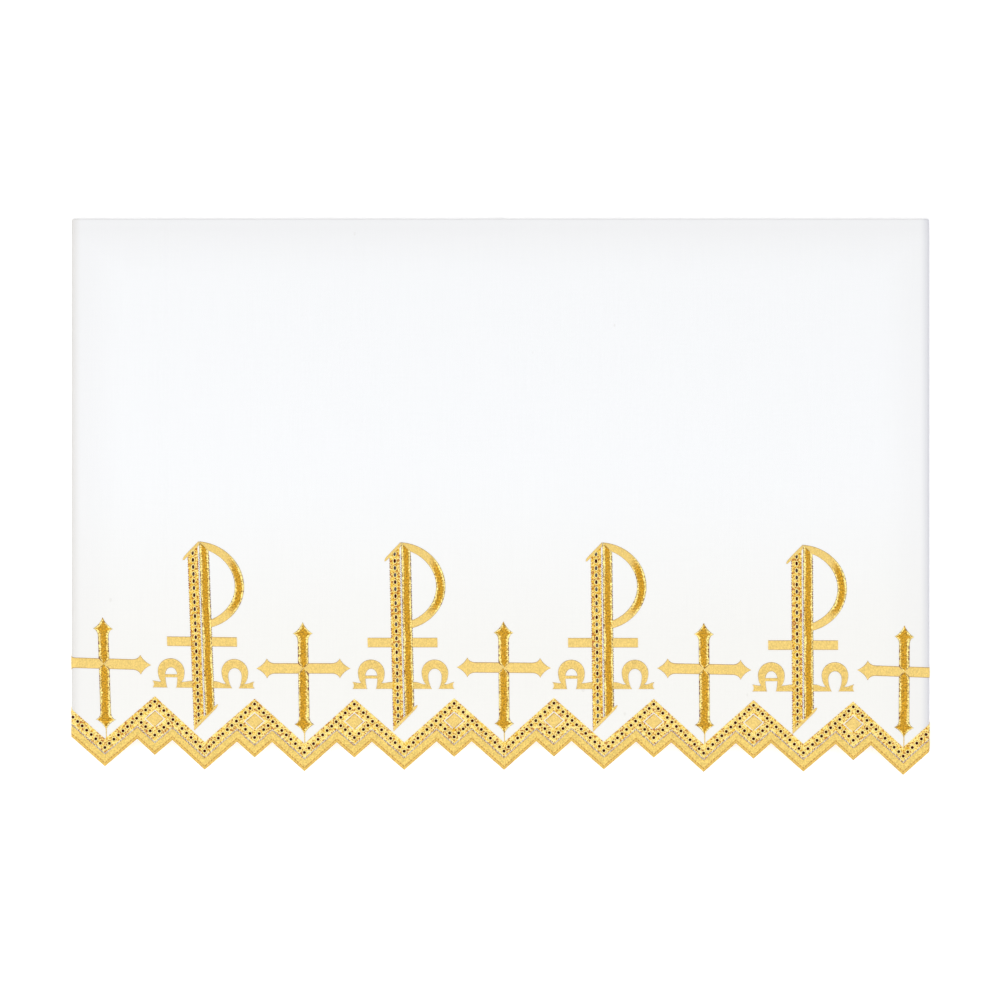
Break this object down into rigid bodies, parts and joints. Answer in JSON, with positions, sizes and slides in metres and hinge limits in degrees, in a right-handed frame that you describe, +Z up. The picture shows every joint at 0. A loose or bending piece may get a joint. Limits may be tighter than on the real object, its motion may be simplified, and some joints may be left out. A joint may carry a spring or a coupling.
{
  "type": "altar cloth",
  "caption": "White linen altar cloth folded with its face up, with a saw-toothed hem and a gold border of eyelets, crosses and monograms.",
  "frame": {"origin": "on the surface the cloth lies on, under the middle of the bounding box", "axes": "+X to the right along the top fold, +Y from the toothed hem up to the top fold, +Z up out of the face"},
  "size_m": [1, 0.6478, 0.0106],
  "materials": {
    "linen": "matt plain weave",
    "gold_thread": "satin stitch in glossy gold thread",
    "gold_lace": "eyelet embroidery in glossy gold thread"
  },
  "bodies": {
    "root": {"cloth": "linen", "edge_strip": "gold_thread", "eyelet_strip": "gold_lace", "cross_1": "gold_thread", "cross_2": "gold_thread", "cross_3": "gold_thread", "cross_4": "gold_thread", "cross_5": "gold_thread", "monogram_1": "gold_thread", "monogram_2": "gold_thread", "monogram_3": "gold_thread", "monogram_4": "gold_thread"}
  },
  "joints": []
}
